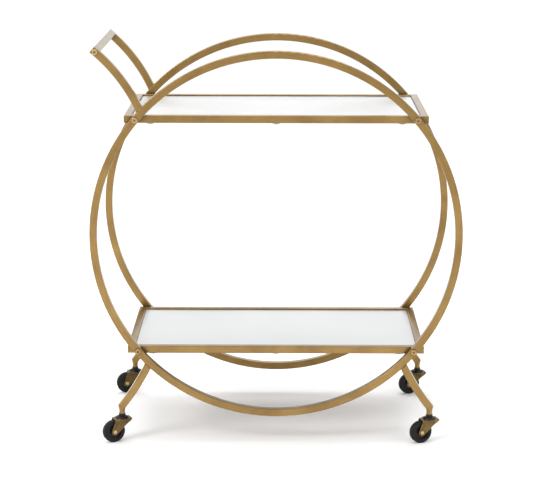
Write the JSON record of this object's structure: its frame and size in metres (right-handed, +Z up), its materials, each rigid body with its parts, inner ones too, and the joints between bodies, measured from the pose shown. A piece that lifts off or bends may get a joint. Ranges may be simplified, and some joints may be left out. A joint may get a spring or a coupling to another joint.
{
  "type": "bar cart",
  "caption": "Round bar cart: square-tube hoops holding mirrored trays, a push handle at the upper left and splayed legs on swivel castors.",
  "frame": {"origin": "on the floor under the middle of the cart", "axes": "+X to the right along the trays, away from the handle; +Y to the back; +Z up"},
  "size_m": [0.75, 0.3757, 0.813],
  "materials": {
    "gold_tube": "brushed gold plate",
    "gold_hardware": "satin gold plate",
    "zinc_steel": "zinc plate",
    "mirror": "silvered glass",
    "hardboard": "dark painted hardboard",
    "antique_brass": "antique brass plate",
    "black_steel": "blackened",
    "black_plastic": "moulded",
    "tyre": "moulded rubber",
    "ball_steel": "polished"
  },
  "bodies": {
    "cart_frame": {"front_hoop": "gold_tube", "front_handle_arm": "gold_tube", "front_left_leg": "gold_tube", "front_right_leg": "gold_tube", "back_hoop": "gold_tube", "back_handle_arm": "gold_tube", "back_left_leg": "gold_tube", "back_right_leg": "gold_tube", "handle_crossbar": "gold_tube", "handle_bolts": "gold_hardware", "handle_nuts": "zinc_steel", "upper_front_rail": "gold_tube", "upper_back_rail": "gold_tube", "upper_left_rail": "gold_tube", "upper_right_rail": "gold_tube", "upper_mirror": "mirror", "upper_backing_board": "hardboard", "upper_panel_tabs": "zinc_steel", "upper_tab_screws": "zinc_steel", "upper_tray_bolts": "gold_hardware", "upper_tray_nuts": "zinc_steel", "lower_front_rail": "gold_tube", "lower_back_rail": "gold_tube", "lower_left_rail": "gold_tube", "lower_right_rail": "gold_tube", "lower_mirror": "mirror", "lower_backing_board": "hardboard", "lower_panel_tabs": "zinc_steel", "lower_tab_screws": "zinc_steel", "lower_tray_bolts": "gold_hardware", "lower_tray_nuts": "zinc_steel", "front_left_king_pin": "black_steel", "front_left_castor_spacer": "black_plastic", "front_right_king_pin": "black_steel", "front_right_castor_spacer": "black_plastic", "back_left_king_pin": "black_steel", "back_left_castor_spacer": "black_plastic", "back_right_king_pin": "black_steel", "back_right_castor_spacer": "black_plastic"},
    "front_left_castor": {"front_left_castor_fork": "antique_brass", "front_left_castor_balls": "ball_steel", "front_left_castor_axle": "antique_brass"},
    "front_left_wheel": {"front_left_wheel_hub": "black_plastic", "front_left_wheel_tyre": "tyre"},
    "front_right_castor": {"front_right_castor_fork": "antique_brass", "front_right_castor_balls": "ball_steel", "front_right_castor_axle": "antique_brass"},
    "front_right_wheel": {"front_right_wheel_hub": "black_plastic", "front_right_wheel_tyre": "tyre"},
    "back_left_castor": {"back_left_castor_fork": "antique_brass", "back_left_castor_balls": "ball_steel", "back_left_castor_axle": "antique_brass"},
    "back_left_wheel": {"back_left_wheel_hub": "black_plastic", "back_left_wheel_tyre": "tyre"},
    "back_right_castor": {"back_right_castor_fork": "antique_brass", "back_right_castor_balls": "ball_steel", "back_right_castor_axle": "antique_brass"},
    "back_right_wheel": {"back_right_wheel_hub": "black_plastic", "back_right_wheel_tyre": "tyre"}
  },
  "joints": [
    {"name": "front_left_swivel", "type": "hinge", "parent": "cart_frame", "child": "front_left_castor", "pos_m": [-0.31583, -0.1675, 0.0496], "axis": [0, 0, 1], "continuous": true},
    {"name": "front_left_roll", "type": "hinge", "parent": "front_left_castor", "child": "front_left_wheel", "pos_m": [-0.33291, -0.17583, 0.023], "axis": [-0.4384, 0.8988, 0], "continuous": true},
    {"name": "front_right_swivel", "type": "hinge", "parent": "cart_frame", "child": "front_right_castor", "pos_m": [0.31583, -0.1675, 0.0496], "axis": [0, 0, 1], "continuous": true},
    {"name": "front_right_roll", "type": "hinge", "parent": "front_right_castor", "child": "front_right_wheel", "pos_m": [0.29798, -0.174, 0.023], "axis": [-0.342, 0.9397, 0], "continuous": true},
    {"name": "back_left_swivel", "type": "hinge", "parent": "cart_frame", "child": "back_left_castor", "pos_m": [-0.31583, 0.1675, 0.0496], "axis": [0, 0, 1], "continuous": true},
    {"name": "back_left_roll", "type": "hinge", "parent": "back_left_castor", "child": "back_left_wheel", "pos_m": [-0.33454, 0.1642, 0.023], "axis": [-0.1736, 0.9848, 0], "continuous": true},
    {"name": "back_right_swivel", "type": "hinge", "parent": "cart_frame", "child": "back_right_castor", "pos_m": [0.31583, 0.1675, 0.0496], "axis": [0, 0, 1], "continuous": true},
    {"name": "back_right_roll", "type": "hinge", "parent": "back_right_castor", "child": "back_right_wheel", "pos_m": [0.2974, 0.1629, 0.023], "axis": [-0.2419, 0.9703, 0], "continuous": true}
  ]
}
